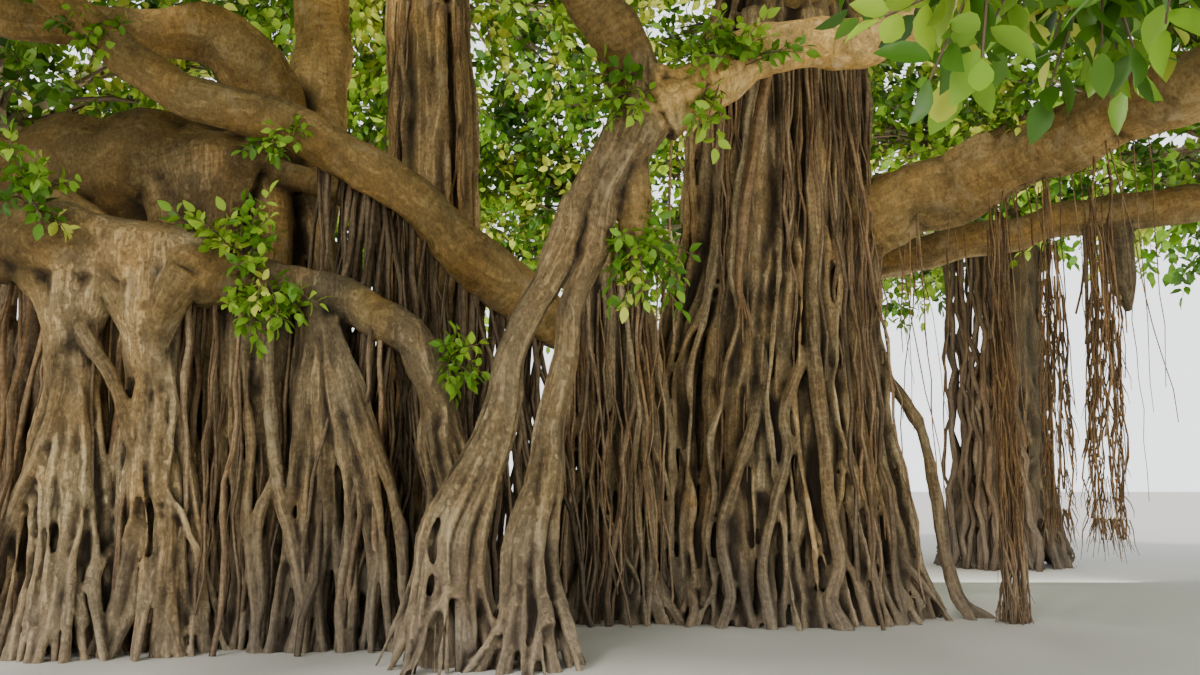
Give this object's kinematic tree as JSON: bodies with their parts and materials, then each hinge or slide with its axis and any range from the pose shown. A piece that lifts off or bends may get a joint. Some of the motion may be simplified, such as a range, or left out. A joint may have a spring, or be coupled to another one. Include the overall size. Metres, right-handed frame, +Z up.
{
  "type": "banyan tree",
  "caption": "Whole banyan: fluted trunks and root pillars, long level boughs with hanging roots, and a wide low crown of leaves, rooted in level ground.",
  "frame": {"origin": "centre of the flat cut under the main trunk, at ground level", "axes": "+Z up, -Y to the front, where the pillars of the front row stand, +X to the tree's right side"},
  "size_m": [33.2187, 32.6275, 16.7653],
  "materials": {
    "trunk_bark": "grey-tan fused roots with dark crevices, matt",
    "bough_bark": "smooth warm brown bark with ring wrinkles, matt",
    "root_bark": "thin red-brown hanging roots, matt",
    "leaves": "broad leathery leaves, yellow-green to deep green, half matt"
  },
  "bodies": {
    "root": {"trunk_main": "trunk_bark", "trunk_middle": "trunk_bark", "trunk_left": "trunk_bark", "trunk_inner": "trunk_bark", "pillar_arch": "trunk_bark", "pillar_scarred": "trunk_bark", "pillar_curtain": "trunk_bark", "pillar_fan": "trunk_bark", "pillar_bent": "trunk_bark", "pillar_far_left": "trunk_bark", "pillar_centre_right": "trunk_bark", "pillar_centre_left": "trunk_bark", "pillar_far_right": "trunk_bark", "pillar_rear": "trunk_bark", "pillar_rear_left": "trunk_bark", "hanging_roots_grounded": "root_bark", "bough_front_left": "bough_bark", "bough_front_left_thin": "bough_bark", "bough_left": "bough_bark", "bough_cross": "bough_bark", "bough_upper_left": "bough_bark", "bough_left_upright": "bough_bark", "bough_rear_left": "bough_bark", "bough_centre_left": "bough_bark", "bough_centre_right": "bough_bark", "bough_right": "bough_bark", "bough_right_lower": "bough_bark", "bough_rear": "bough_bark", "bough_upper_front": "bough_bark", "bough_upper_right": "bough_bark", "bough_upper_rear": "bough_bark", "bough_crown_right": "bough_bark", "bough_inner_front": "bough_bark", "bough_inner_rear": "bough_bark", "bough_crown_left": "bough_bark", "bough_drooping": "bough_bark", "hanging_roots_middle": "root_bark", "hanging_roots_outer": "root_bark", "hanging_stub": "root_bark", "mass_rim_1": "leaves", "mass_rim_2": "leaves", "mass_rim_3": "leaves", "mass_rim_4": "leaves", "mass_rim_5": "leaves", "mass_rim_6": "leaves", "mass_rim_7": "leaves", "mass_rim_8": "leaves", "mass_rim_9": "leaves", "mass_rim_10": "leaves", "mass_shoulder_1": "leaves", "mass_shoulder_2": "leaves", "mass_shoulder_3": "leaves", "mass_shoulder_4": "leaves", "mass_shoulder_5": "leaves", "mass_shoulder_6": "leaves", "mass_top_right": "leaves", "mass_top_left": "leaves", "mass_low_front": "leaves"}
  },
  "joints": []
}
